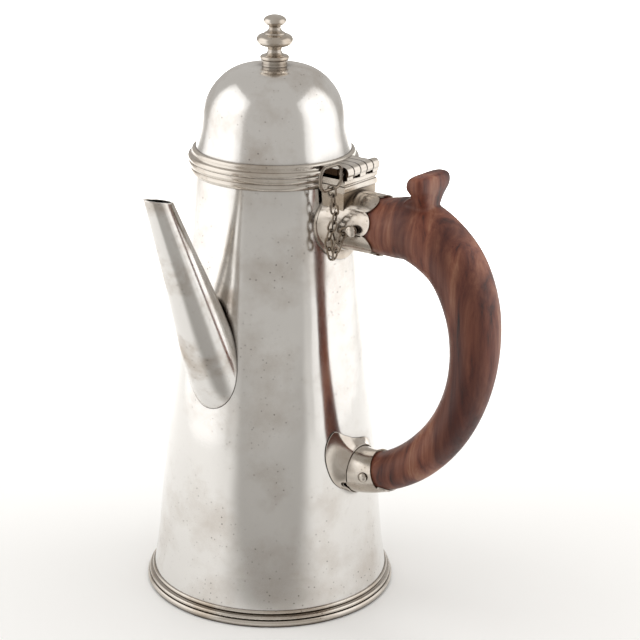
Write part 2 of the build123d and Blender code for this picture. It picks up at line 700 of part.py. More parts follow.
upper_notch_plane = Plane(origin=(FERRULE_NOTCH_X, 0, SOCKET_AXIS_Z), x_dir=(0, 1, 0), z_dir=(1, 0, 0))
with BuildPart() as upper_socket:
    add(ferrule_form(0))
    with BuildSketch(Plane.YZ):
        with Locations((0, SOCKET_AXIS_Z)):
            Circle(FERRULE_RADIUS - FERRULE_WALL)
    extrude(amount=FERRULE_NOTCH_X + 1, mode=Mode.SUBTRACT)
    add(scallops(upper_notch_plane, FERRULE_RADIUS, FERRULE_WALL, LOBE_START))
    add(cone_core(SOLDER_GAP), mode=Mode.SUBTRACT)
    with BuildSketch(upper_notch_plane.offset(FERRULE_WALL)):
        with PolarLocations(
            FERRULE_RADIUS + CREASE_RADIUS - CREASE_DEPTH,
            LOBE_COUNT,
            start_angle=LOBE_START + 180 / LOBE_COUNT,
        ):
            Circle(CREASE_RADIUS)
    extrude(amount=-CREASE_LENGTH, taper=2.2, mode=Mode.SUBTRACT)
    with BuildSketch(Plane.XZ):
        with Locations((RIVET_X, RIVET_Z)):
            Circle(RIVET_SHANK_RADIUS + SOLDER_GAP)
    extrude(amount=2 * FERRULE_RADIUS, both=True, mode=Mode.SUBTRACT)
write("upper_socket", upper_socket.part)

# ---------------------------------------------------------------- upper socket plate
with BuildPart() as upper_socket_plate:
    with BuildSketch(Plane.YZ):
        with Locations((0, PLATE_Z)):
            Circle(PLATE_RADIUS)
    extrude(amount=FOOT_LINE_RADIUS)
    add(cone_core(SOLDER_GAP + PLATE_THICKNESS), mode=Mode.INTERSECT)
    add(plate_cove(0))
    add(cone_core(SOLDER_GAP), mode=Mode.SUBTRACT)
    add(ferrule_form(SOLDER_GAP), mode=Mode.SUBTRACT)
write("upper_socket_plate", upper_socket_plate.part)

# ---------------------------------------------------------------- lower socket bell
def bell_section(x, points, top_tangent):
    """Face at x whose right side passes through points, each (y, z), and whose left side mirrors it."""
    with BuildSketch(Plane.YZ.offset(x)) as section:
        with BuildLine():
            Spline(*points, tangents=(top_tangent, (-1, 0)))
            mirror(about=Plane.YZ)
        make_face()
    return section.sketch


with BuildPart() as lower_socket_bell:
    for reach, half_width, ear_width, ear_rise in BELL_STATIONS:
        outline = (
            (0, LOWER_SOCKET_Z + BELL_NOTCH_RISE),
            (ear_width, LOWER_SOCKET_Z + ear_rise),
            (half_width, LOWER_SOCKET_Z + ear_rise / 2 - 1),
            (half_width * 0.62, LOWER_SOCKET_Z - BELL_DROP * 0.6),
            (0, LOWER_SOCKET_Z - BELL_DROP),
        )
        add(bell_section(LOWER_WALL_X + reach, outline, (1, 0.3)))
    end_x, end_rise, end_lean, end_radius = LOWER_STATIONS[0]
    circle = [
        (BELL_END_RADIUS * sin(radians(a)), LOWER_SOCKET_Z + end_rise + BELL_END_RADIUS * cos(radians(a)))
        for a in (0, 45, 85, 140, 180)
    ]
    add(bell_section(LOWER_WALL_X + end_x, circle, (1, 0)))
    loft()
    add(cone_core(SOLDER_GAP), mode=Mode.SUBTRACT)
write("lower_socket_bell", lower_socket_bell.part)


def lower_form(inset):
    """Tube of the lower ferrule, with every radius reduced by inset."""
    with BuildPart() as form:
        for index, (reach, rise, lean, radius) in enumerate(LOWER_STATIONS):
            along = (cos(radians(lean)), 0, sin(radians(lean))) if index else (1, 0, 0)
            middle = (LOWER_WALL_X + reach, 0, LOWER_SOCKET_Z + rise)
            with BuildSketch(Plane(origin=middle, x_dir=(0, 1, 0), z_dir=along)):
                Circle(radius - inset)
        loft()
    return form.part


end_reach, end_rise, end_lean, end_radius = LOWER_STATIONS[-1]
lower_notch_plane = Plane(
    origin=(LOWER_WALL_X + end_reach, 0, LOWER_SOCKET_Z + end_rise),
    x_dir=(0, 1, 0),
    z_dir=(cos(radians(end_lean)), 0, sin(radians(end_lean))),
)
with BuildPart() as lower_socket:
    add(lower_form(0))
    add(lower_form(LOWER_WALL), mode=Mode.SUBTRACT)
    add(scallops(lower_notch_plane, end_radius, LOWER_WALL, LOWER_LOBE_START))
    with BuildSketch(Plane.XZ):
        with Locations((LOWER_RIVET_X, LOWER_RIVET_Z)):
            Circle(RIVET_SHANK_RADIUS + SOLDER_GAP)
    extrude(amount=2 * FERRULE_RADIUS, both=True, mode=Mode.SUBTRACT)
write("lower_socket", lower_socket.part)

# ---------------------------------------------------------------- wooden handle
with BuildPart() as thumb_piece:
    with BuildSketch(Plane.XZ):
        with BuildLine():
            profile = [(SOCKET_WALL_X + reach, SOCKET_AXIS_Z + rise) for reach, rise in THUMB_SIDE]
            side_view = Spline(*profile, tangents=((1, 0.05), (0, -1)))
            root_z = SOCKET_AXIS_Z + THUMB_ROOT
            Polyline(side_view @ 1, (profile[-1][0], root_z), (profile[0][0], root_z), side_view @ 0)
        make_face()
    extrude(amount=2 * THUMB_FRONT[2][0], both=True)
    with BuildSketch(Plane.YZ):
        with BuildLine():
            outline = [(half_width, SOCKET_AXIS_Z + rise) for half_width, rise in THUMB_FRONT]
            front_view = Spline(*outline, tangents=((0.12, 1), (-1, 0)))
            Polyline(front_view @ 1, (0, root_z), (outline[0][0], root_z), front_view @ 0)
        make_face()
        mirror(about=Plane.YZ)
    extrude(amount=2 * FOOT_RADIUS, mode=Mode.INTERSECT)

handle_points = []
for reach, share, radius in HANDLE_STATIONS:
    z = LOWER_SOCKET_Z + share * (SOCKET_AXIS_Z - LOWER_SOCKET_Z)
    handle_points.append(Vector(wall_radius(z) + reach, 0, z))
with BuildPart() as handle:
    with BuildLine() as handle_line:
        Spline(*handle_points, tangents=((1, 0, 0), (-1, 0, -0.1)))
    path = handle_line.edge()
    for point, (reach, share, radius) in zip(handle_points, HANDLE_STATIONS):
        place = path.param_at_point(point)
        with BuildSketch(Plane(origin=path @ place, x_dir=(0, 1, 0), z_dir=path % place)):
            Circle(radius)
    loft()
    with BuildSketch(Plane.YZ.offset(TENON_START_X)):
        with Locations((0, SOCKET_AXIS_Z)):
            Circle(HANDLE_STATIONS[0][2])
    extrude(amount=handle_points[0].X - TENON_START_X)
    add(thumb_piece.part)
    for rivet_x, rivet_z in ((RIVET_X, RIVET_Z), (LOWER_RIVET_X, LOWER_RIVET_Z)):
        with BuildSketch(Plane.XZ):
            with Locations((rivet_x, rivet_z)):
                Circle(RIVET_SHANK_RADIUS + SOLDER_GAP)
        extrude(amount=2 * FERRULE_RADIUS, both=True, mode=Mode.SUBTRACT)
write("handle", handle.part)


# ---------------------------------------------------------------- rivets
def rivet(x, z, head_radius, head_height, near_y, far_y):
    """Cross rivet along Y, with a domed head at each end; near_y and far_y are the heads' undersides."""
    with BuildPart() as body:
        with BuildSketch(Plane.XZ.offset(far_y * -1)):
            with Locations((x, z)):
                Circle(RIVET_SHANK_RADIUS)
        extrude(amount=far_y - near_y)
        for head_y, way in ((near_y, -1), (far_y, 1)):
            with BuildSketch(Plane.XY.offset(z)):
                with BuildLine():
                    dome = Spline(
                        (x + head_radius, head_y),
                        (x, head_y + way * head_height),
                        tangents=((0, way), (-1, 0)),
                    )
                    Polyline(dome @ 1, (x, head_y), dome @ 0)
                make_face()
            revolve(axis=Axis(origin=(x, 0, z), direction=(0, 1, 0)))
    return body.part


ferrule_side = FERRULE_RADIUS + SOLDER_GAP
write(
    "upper_rivet",
    rivet(RIVET_X, RIVET_Z, RIVET_HEAD_RADIUS, RIVET_HEAD_HEIGHT, -ferrule_side - RIVET_NECK, ferrule_side),
)
lower_side = LOWER_STATIONS[1][3] + SOLDER_GAP
write(
    "lower_rivet",
    rivet(
        LOWER_RIVET_X,
        LOWER_RIVET_Z,
        LOWER_RIVET_HEAD_RADIUS,
        LOWER_RIVET_HEAD_HEIGHT,
        -lower_side,
        lower_side,
    ),
)

# ---------------------------------------------------------------- hinge pin with pull loop
loop_end_y = LOOP_START_Y - LOOP_LENGTH
loop_top_z = HINGE_Z + LOOP_HEIGHT / 2
loop_bottom_z = HINGE_Z - LOOP_HEIGHT / 2
with BuildPart() as hinge_pin:
    with BuildSketch(Plane.XZ.offset(-LOOP_START_Y)):
        with Locations((HINGE_X, HINGE_Z)):
            Circle(PIN_RADIUS)
    extrude(amount=LOOP_START_Y - BARREL_HALF_LENGTH - PIN_END)
    fillet(hinge_pin.edges().filter_by(GeomType.CIRCLE).sort_by(Axis.Y)[-1], PIN_RADIUS * 0.6)
    with BuildLine(Plane.YZ.offset(HINGE_X)) as loop_line:
        FilletPolyline(
            (LOOP_START_Y, loop_bottom_z),
            (LOOP_START_Y, loop_top_z),
            (loop_end_y, loop_top_z),
            (loop_end_y, loop_bottom_z),
            radius=LOOP_CORNER,
            close=True,
        )
    with BuildSketch(Plane(origin=loop_line.line @ 0, z_dir=loop_line.line % 0)):
        Circle(LOOP_WIRE_RADIUS)
    sweep(path=loop_line.wire())
write("hinge_pin", hinge_pin.part)


# ---------------------------------------------------------------- chain
def chain_link(centre, along, normal, length=LINK_LENGTH):
    """Oval link of round wire; along is its long direction and normal is square to its plane."""
    bend = (LINK_WIDTH - LINK_WIRE) / 2
    straight = (length - LINK_WIDTH) / 2
    with BuildPart() as link:
        with BuildLine(Plane(origin=centre, x_dir=along, z_dir=normal)) as oval:
            front = CenterArc((straight, 0), bend, -90, 180)
            side = Line(front @ 1, (-straight, bend))
            back = CenterArc((-straight, 0), bend, 90, 180)
            Line(back @ 1, front @ 0)
        with BuildSketch(Plane(origin=side @ 0, z_dir=side % 0)):
            Circle(LINK_WIRE / 2)
        sweep(path=oval.wire())
    return link.part


def square_to(normal, along):
    """The part of normal that is square to along, as a unit vector."""
    return (normal - along * normal.dot(along)).normalized()


loop_side = Vector(HINGE_X, LOOP_START_Y, HINGE_Z)
rivet_side = Vector(RIVET_X, -FERRULE_RADIUS, RIVET_Z)
upper_points = [loop_side + Vector(joint) for joint in UPPER_JOINTS]
lower_points = [rivet_side + Vector(joint) for joint in LOWER_JOINTS]
upper_spans = list(zip(upper_points, upper_points[1:]))
lower_spans = list(zip(lower_points, lower_points[1:]))
upper_step = (HALF_TURNS * 180 + 90 - FIRST_LINK_TURN) / (len(upper_spans) - 1)
upper_turns = [FIRST_LINK_TURN + upper_step * index for index in range(len(upper_spans))]
lower_turns = [90 * (index + 1) for index in range(len(lower_spans))]
link_turns = zip(upper_spans + lower_spans, upper_turns + lower_turns)
for number, ((start, end), turn) in enumerate(link_turns, start=1):
    span = end - start
    facing = Vector(sin(radians(turn)), -cos(radians(turn)), 0)
    normal = square_to(facing, span.normalized())
    write(f"chain_link_{number:02d}", chain_link(start + span / 2, span, normal))

# the last link, round the rivet's neck
rivet_neck = rivet_side - Vector(0, SOLDER_GAP + RIVET_NECK / 2, 0)
eye_along = (rivet_side + Vector(EYE_END) - rivet_neck).normalized()
eye_middle = rivet_neck + eye_along * (EYE_LENGTH / 2 - LINK_WIRE - RIVET_SHANK_RADIUS - LINK_GAP)
eye_normal = square_to(Vector(0, -1, 0), eye_along)
write("chain_eye", chain_link(eye_middle, eye_along, eye_normal, EYE_LENGTH))
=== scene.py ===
"""The looks of a silver chocolate pot with a carved wooden side handle, in a soft studio light."""
from math import cos, pi, radians, sin

import bpy
import numpy as np
from mathutils import Matrix, Vector


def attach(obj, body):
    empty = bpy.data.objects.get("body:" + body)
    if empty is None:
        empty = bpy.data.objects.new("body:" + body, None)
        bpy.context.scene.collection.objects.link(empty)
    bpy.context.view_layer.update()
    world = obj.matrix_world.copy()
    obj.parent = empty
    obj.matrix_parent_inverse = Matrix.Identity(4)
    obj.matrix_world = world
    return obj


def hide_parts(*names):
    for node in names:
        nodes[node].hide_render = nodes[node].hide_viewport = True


MM = 0.001

# ---------------------------------------------------------------- camera
CAMERA_AZIMUTH = 38.0      # degrees from the spout's side towards the handle
CAMERA_DISTANCE = 756.8 * MM
CAMERA_HEIGHT = 376.7 * MM
CAMERA_PITCH = 19.16       # degrees below the horizon
CAMERA_YAW = 1.48          # degrees that it looks past the pot's axis, to the right
CAMERA_ROLL = 1.0          # degrees
SENSOR = 36.0              # mm
LENS = 110.1               # mm

# ---------------------------------------------------------------- colours, sRGB
SILVER = "#E7E5E2"         # worn silver, between its bright scratches
SILVER_WARM = "#D3CCC3"    # under a first thin film of sulphide
SILVER_DULL = "#B5AA9C"    # castings that the cloth seldom reaches
TARNISH = "#9C8871"        # thin brown sulphide film
DEEP_TARNISH_AND_SHADE = "#3A2C21"   # in the corners: tarnish where no cloth reaches, and painted shade
WIRE = "#8E857B"           # drawn wire, dull between its links
WOOD_BODY = "#86503A"
WOOD_RED = "#6B3423"       # heartwood between the streaks
WOOD_DARK = "#2E1612"      # streaks
WOOD_PALE = "#A5755A"
WOOD_BAND = "#8E5E50"      # broad darker bands, laid over the other colours
PAPER_WHITE = "#F8F8F7"
PAINTED_SHADOW_GREY = "#A7A5A2"     # painted shadow: the soft grey of a flag's shadow, painted on the paper in front of the pot
ROOM = "#C1BEBA"

# ---------------------------------------------------------------- real sizes of the surface detail, mm
PLANISH_SPACING = 34.0     # between the shallow waves that the hammer leaves in sheet
DENT_SPACING = 9.0         # between small dents of use
SCRATCH_SPACING = 0.6      # drawn coarser than real hairlines, which are too fine to show
PIT_SPACING = 2.4
STAIN_SPACING = 26.0
KNUCKLE_PITCH = 4.2        # of the hinge, along Y
SCRATCH_DEPTH = 0.012
PIT_DEPTH = 0.02
STREAK_WIDTH = 2.4         # dark streaks in the wood
BAND_WIDTH = 7.2           # its broad bands
PORE_WIDTH = 0.35
PORE_DEPTH = 0.05


def linear(hex_colour):
    """sRGB hex to the linear colour that shaders take."""
    channels = [int(hex_colour[i : i + 2], 16) / 255 for i in (1, 3, 5)]
    return tuple(c / 12.92 if c <= 0.04045 else ((c + 0.055) / 1.055) ** 2.4 for c in channels) + (1.0,)


def per_metre(spacing_mm):
    """Noise scale whose features are about spacing_mm apart."""
    return 1.0 / (spacing_mm * MM)


class Nodes:
    """The emptied node tree of a material or a light, with one way to add a node."""

    def __init__(self, owner):
        owner.use_nodes = True
        self.tree = owner.node_tree
        self.tree.nodes.clear()

    def add(self, kind, inputs=None, **settings):
        """Adds a node; a value in inputs is a socket to link from or a constant."""
        node = self.tree.nodes.new(kind)
        for key, value in settings.items():
            setattr(node, key, value)
        for key, value in (inputs or {}).items():
            if isinstance(value, bpy.types.NodeSocket):
                self.tree.links.new(value, node.inputs[key])
            else:
                node.inputs[key].default_value = value
        return node


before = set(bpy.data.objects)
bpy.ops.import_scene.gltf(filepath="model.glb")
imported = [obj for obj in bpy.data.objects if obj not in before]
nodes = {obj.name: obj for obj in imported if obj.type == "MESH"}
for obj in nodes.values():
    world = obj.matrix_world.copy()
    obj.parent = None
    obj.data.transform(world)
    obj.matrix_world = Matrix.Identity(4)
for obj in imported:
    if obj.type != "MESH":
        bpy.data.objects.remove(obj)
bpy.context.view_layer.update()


# ---------------------------------------------------------------- shapes, mm
WALL_TOP = (32.2, 176.6)    # radius and height of the body's wall under the rim moulding
WALL_FOOT = (48.3, 6.3)     # and where its line meets the top of the foot
LOWER_AXIS_Z = 60.0         # height of the lower socket's axis at the wall
SOLDER_GAP = 0.05           # between a soldered piece and the wall
AROUND = 96                 # points round a turned or drawn piece


def wall_radius(z):
    """Outer radius of the body's straight cone at height z."""
    slope = (WALL_TOP[0] - WALL_FOOT[0]) / (WALL_TOP[1] - WALL_FOOT[1])
    return WALL_FOOT[0] + slope * (z - WALL_FOOT[1])


def smooth_rows(rows, count):
    """Rows on the smooth curve through the given rows.

    Between two rows each column is a cubic in the root of the chord, with the slopes of its neighbours.
    """
    rows = np.array(rows, dtype=float)
    knots = np.concatenate(([0.0], np.cumsum(np.sqrt(np.linalg.norm(np.diff(rows, axis=0), axis=1)))))
    slopes = np.gradient(rows, knots, axis=0)
    place = np.linspace(0.0, knots[-1], count)
    span = np.clip(np.searchsorted(knots, place, side="right") - 1, 0, len(rows) - 2)
    width = (knots[span + 1] - knots[span])[:, None]
    t = (place[:, None] - knots[span][:, None]) / width
    return (
        (1 + 2 * t) * (1 - t) ** 2 * rows[span]
        + t * (1 - t) ** 2 * width * slopes[span]
        + t**2 * (3 - 2 * t) * rows[span + 1]
        + t**2 * (t - 1) * width * slopes[span + 1]
    )


def grid_piece(name, points, closed=False):
    """Smooth mesh over a grid of points, in mm, whose second direction is closed.

    The first direction is closed where closed is set, and otherwise its two end rings are shut by a fan.
    """
    rows, columns = points.shape[:2]
    index = np.arange(rows * columns).reshape(rows, columns)
    near = index if closed else index[:-1]
    far = np.roll(index, -1, axis=0) if closed else index[1:]
    quads = np.stack((near, np.roll(near, -1, axis=1), np.roll(far, -1, axis=1), far), axis=-1)
    faces = quads.reshape(-1, 4).tolist()
    vertices = points.reshape(-1, 3)
    if not closed:
        ends = points[[0, -1]].mean(axis=1)
        first, last = index[0], index[-1]
        start, finish = len(vertices), len(vertices) + 1
        faces += np.stack((np.full(columns, start), np.roll(first, -1), first), axis=-1).tolist()
        faces += np.stack((np.full(columns, finish), last, np.roll(last, -1)), axis=-1).tolist()
        vertices = np.vstack((vertices, ends))
    mesh = bpy.data.meshes.new(name)
    mesh.from_pydata((vertices * MM).tolist(), [], faces)
    mesh.shade_smooth()
    piece = bpy.data.objects.new(name, mesh)
    bpy.context.scene.collection.objects.link(piece)
    return piece


def stand_for(replaced, body, piece):
    """Lets the piece ride on its body and stand for the CAD node that it replaces."""
    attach(piece, body)
    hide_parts(replaced)
    return piece


def rings(centres, radii, side):
    """Circles of the given radii square to the line through the centres; side is square to that line."""
    along = np.gradient(centres, axis=0)
    along /= np.linalg.norm(along, axis=1)[:, None]
    side = np.array(side, dtype=float)
    across = np.cross(along, side)
    angle = np.linspace(0.0, 2 * pi, AROUND, endpoint=False)[None, :, None]
    circle = np.cos(angle) * side + np.sin(angle) * across[:, None, :]
    return centres[:, None, :] + np.asarray(radii)[:, None, None] * circle


# ---------------------------------------------------------------- finial
BUTTON = (4.5, 236.75, 2.35)    # radius, height and half height of the round button on top
BUTTON_ARC = (139.0, 2.0)       # degrees from its top, where its round begins and ends
FINIAL_MOULDINGS = (            # upwards: radius and z at each end, and how far it swells or sinks
    (5.0, 221.34, 5.0, 223.2, 0.75),
    (5.0, 223.2, 3.8, 223.4, 0.0),
    (3.8, 223.4, 3.5, 226.7, -0.9),
    (3.5, 226.7, 4.3, 226.9, 0.0),
    (4.3, 226.9, 4.3, 231.6, 2.95),
    (4.3, 231.6, 3.4, 232.4, 0.3),
    (3.4, 232.4, 2.9, 235.1, -0.75),
)


def turned_finial():
    """Finial turned about Z.

    Each moulding is half a sine wave between its ends. One that swells is eased at both ends, which rounds
    it to half an ellipse. The button is most of an ellipse.
    """
    profile = []
    for r0, z0, r1, z1, swell in FINIAL_MOULDINGS:
        t = np.linspace(0.0, 1.0, 12 if swell else 2, endpoint=False)
        eased = (1 - np.cos(pi * t)) / 2 if swell > 0 else t
        radius = r0 + (r1 - r0) * t + swell * np.sin(pi * t)
        profile.append(np.stack((radius, z0 + (z1 - z0) * eased), axis=-1))
    radius, middle, half = BUTTON
    angle = np.radians(np.linspace(*BUTTON_ARC, 26))
    profile.append(np.stack((radius * np.sin(angle), middle + half * np.cos(angle)), axis=-1))
    r, z = np.concatenate(profile).T[:, :, None]
    turn = np.linspace(0.0, 2 * pi, AROUND, endpoint=False)
    points = np.stack((r * np.cos(turn), r * np.sin(turn), z + 0 * turn), axis=-1)
    return stand_for("finial", "finial_part", grid_piece("finial_turned", points))


# ---------------------------------------------------------------- spout
SPOUT_WALL = 0.8
SPOUT_ROWS = (              # up its centre line: distance from the wall, z, radius
    (-24.0, 83.0, 12.2),
    (-18.5, 86.6, 12.4),
    (-9.6, 94.2, 12.45),
    (0.4, 110.0, 11.5),
    (18.9, 144.3, 8.3),
    (39.6, 182.4, 4.9),
    (43.0, 188.7, 4.35),
)
SPOUT_TIP = (-69.9, 179.0)  # y and z of the middle of its mouth
SPOUT_TIP_TILT = 12.0       # degrees that the mouth falls towards the body
SPOUT_FOOT_Z = 60.0         # below the spout; its tube isn't looked at lower down


def spout_surface(inset):
    """Tapered tube, inset inside the spout's outside: circles square to a smooth curve through its rows.

    Each of its lengthwise lines runs from where it leaves the body's cone to the plane of the mouth.
    """
    rows = smooth_rows([(-wall_radius(z) - reach, z, r) for reach, z, r in SPOUT_ROWS], 260)
    centres = np.stack((np.zeros(len(rows)), rows[:, 0], rows[:, 1]), axis=-1)
    tube = rings(centres, rows[:, 2] - inset, (1.0, 0.0, 0.0))
    gap = np.hypot(tube[..., 0], tube[..., 1]) - wall_radius(tube[..., 2]) - SOLDER_GAP
    lean = radians(SPOUT_TIP_TILT)
    height = (tube[..., 2] - SPOUT_TIP[1]) * cos(lean) + (tube[..., 1] - SPOUT_TIP[0]) * sin(lean)
    start = np.argmax((gap > 0) & (tube[..., 2] > SPOUT_FOOT_Z), axis=0)
    finish = np.argmax(height > 0, axis=0)
    ring = np.arange(AROUND)
    before = gap[start - 1, ring]
    start = start - 1 + before / (before - gap[start, ring])
    low = height[finish - 1, ring]
    finish = finish - 1 + low / (low - height[finish, ring])
    place = start + (finish - start) * np.linspace(0.0, 1.0, 120)[:, None]
    whole = np.minimum(place.astype(int), len(rows) - 2)
    part = (place - whole)[..., None]
    return tube[whole, ring] * (1 - part) + tube[whole + 1, ring] * part


def drawn_spout():
    """Spout with its outside, its rim and its bore."""
    points = np.concatenate((spout_surface(0.0), spout_surface(SPOUT_WALL)[::-1]))
    return stand_for("spout", "pot", grid_piece("spout_seamed", points, closed=True))


# ---------------------------------------------------------------- lower socket's bell
BELL_LIP = (46.0, 60.1)     # x and z of the middle of the step where the bell ends on the ferrule
BELL_LIP_RADIUS = 10.2
BELL_THICKNESS = 0.4
BELL_INNER_SHRINK = 0.045   # how much smaller its inner outline is, as a share per mm of thickness
BELL_OUTLINE = (            # y and z where it meets the wall, round from the top; its near ear is higher
    (-1.0, 72.8),
    (-6.0, 75.4),
    (-10.8, 77.9),
    (-14.2, 74.6),
    (-15.6, 68.6),
    (-14.6, 61.6),
    (-12.0, 56.2),
    (-7.0, 52.4),
    (0.0, 50.8),
    (7.0, 52.4),
    (12.0, 56.2),
    (14.4, 61.4),
    (13.4, 66.4),
    (9.4, 69.6),
    (4.2, 71.2),
)
VENT = (-8.9, 55.6)         # y and z of the small vent at its lower near edge
VENT_SIZE = (1.5, 0.7)      # half its length and half its width
VENT_DEPTH = 1.8


def bell_sheet(inset):
    """Flare from the outline on the wall to the lip, inset inside its outside.

    Each section is halfway from a straight line to a quarter of an ellipse. The vent is a slanting dent,
    whose depth falls off as the exponential of the fourth power of the distance.
    """
    outline = smooth_rows(BELL_OUTLINE + BELL_OUTLINE[:1], 241)[:-1]
    y, z = outline.T
    x = np.sqrt(wall_radius(z) ** 2 - y**2) + BELL_THICKNESS + SOLDER_GAP - inset
    angle = np.arctan2(y, z - LOWER_AXIS_Z)
    radius = BELL_LIP_RADIUS - inset
    lip_x, lip_y, lip_z = BELL_LIP[0], radius * np.sin(angle), BELL_LIP[1] + radius * np.cos(angle)
    share = 1 - BELL_INNER_SHRINK * inset
    y, z = share * y, LOWER_AXIS_Z + share * (z - LOWER_AXIS_Z)
    t = np.linspace(0.0, 1.0, 50)[:, None]
    inward, outward = (t + np.sin(t * pi / 2)) / 2, (t + 1 - np.cos(t * pi / 2)) / 2
    x, y, z = x + (lip_x - x) * outward, y + (lip_y - y) * inward, z + (lip_z - z) * inward
    from_vent_y, from_vent_z = y - VENT[0], z - VENT[1]
    along, across = (from_vent_y - from_vent_z) / 2**0.5, (from_vent_y + from_vent_z) / 2**0.5
    vent = np.exp(-(((along / VENT_SIZE[0]) ** 2 + (across / VENT_SIZE[1]) ** 2) ** 2))
    return np.stack((x - VENT_DEPTH * vent, y, z), axis=-1)


def flared_bell():
    """Bell of sheet, with its upper side, its lip on the ferrule and its under side."""
    points = np.concatenate((bell_sheet(0.0), bell_sheet(BELL_THICKNESS)[::-1]))
    return stand_for("lower_socket_bell", "pot", grid_piece("lower_socket_flare", points, closed=True))


# ---------------------------------------------------------------- handle
HANDLE_ROWS = (             # along its centre line: x, z, radius
    (49.2, 164.0, 11.1),
    (55.6, 164.0, 11.2),
    (61.05, 164.5, 11.75),
    (70.5, 165.0, 12.4),
    (86.6, 155.6, 11.6),
    (95.1, 140.6, 10.8),
    (97.7, 123.5, 9.7),
    (95.2, 105.0, 8.8),
    (87.2, 87.2, 8.4),
    (74.35, 72.4, 8.25),
    (61.0, 63.6, 7.95),
    (50.0, 60.3, 7.7),
)
THUMB_ROWS = (              # up the thumb-piece: z, its x towards the pot and away, half its width
    (170.0, 64.0, 76.8, 6.0),
    (174.5, 64.6, 77.0, 6.3),
    (177.4, 66.8, 77.3, 7.2),
    (180.2, 70.4, 77.6, 8.6),
    (183.3, 69.2, 78.5, 10.6),
    (185.6, 69.4, 78.5, 10.9),
    (187.3, 70.4, 77.9, 10.2),
    (188.2, 72.4, 76.6, 8.4),
)
THUMB_SQUARENESS = 3.6      # power of the rounded oblong that each of its levels is
CARVE_VOXEL = 0.5           # fineness of the joined form
SCRAPE_PASSES = 6           # that round its edges


def carved_handle():
    """Curved limb of round section with the thumb-piece on it, made one solid and its edges scraped round.

    The limb is circles square to a smooth curve. The thumb-piece is a stack of rounded oblongs: the two
    distances from the middle, as shares of the half sizes and raised to a power, add up to one.
    """
    rows = smooth_rows(HANDLE_ROWS, 160)
    centres = np.stack((rows[:, 0], np.zeros(len(rows)), rows[:, 1]), axis=-1)
    limb = grid_piece("limb", rings(centres, rows[:, 2], (0.0, 1.0, 0.0)))
    level = smooth_rows(THUMB_ROWS, 60)
    angle = np.linspace(0.0, 2 * pi, AROUND, endpoint=False)
    oblong_x = np.sign(np.cos(angle)) * np.abs(np.cos(angle)) ** (2 / THUMB_SQUARENESS)
    oblong_y = np.sign(np.sin(angle)) * np.abs(np.sin(angle)) ** (2 / THUMB_SQUARENESS)
    z, near, far, half_width = level.T[:, :, None]
    x = (near + far) / 2 + (far - near) / 2 * oblong_x
    thumb = grid_piece("thumb", np.stack((x, half_width * oblong_y, z + 0 * oblong_x), axis=-1))
    with bpy.context.temp_override(active_object=limb, selected_editable_objects=[limb, thumb]):
        bpy.ops.object.join()
    remesh = limb.modifiers.new("one solid", "REMESH")
    remesh.mode, remesh.voxel_size = "VOXEL", CARVE_VOXEL * MM
    scraped = limb.modifiers.new("scraped", "SMOOTH")
    scraped.factor, scraped.iterations = 0.5, SCRAPE_PASSES
    mesh = bpy.data.meshes.new_from_object(limb.evaluated_get(bpy.context.evaluated_depsgraph_get()))
    bpy.data.objects.remove(limb)
    mesh.shade_smooth()
    handle = bpy.data.objects.new("handle_carved", mesh)
    bpy.context.scene.collection.objects.link(handle)
    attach(handle, "pot")
    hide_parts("handle")
    return handle


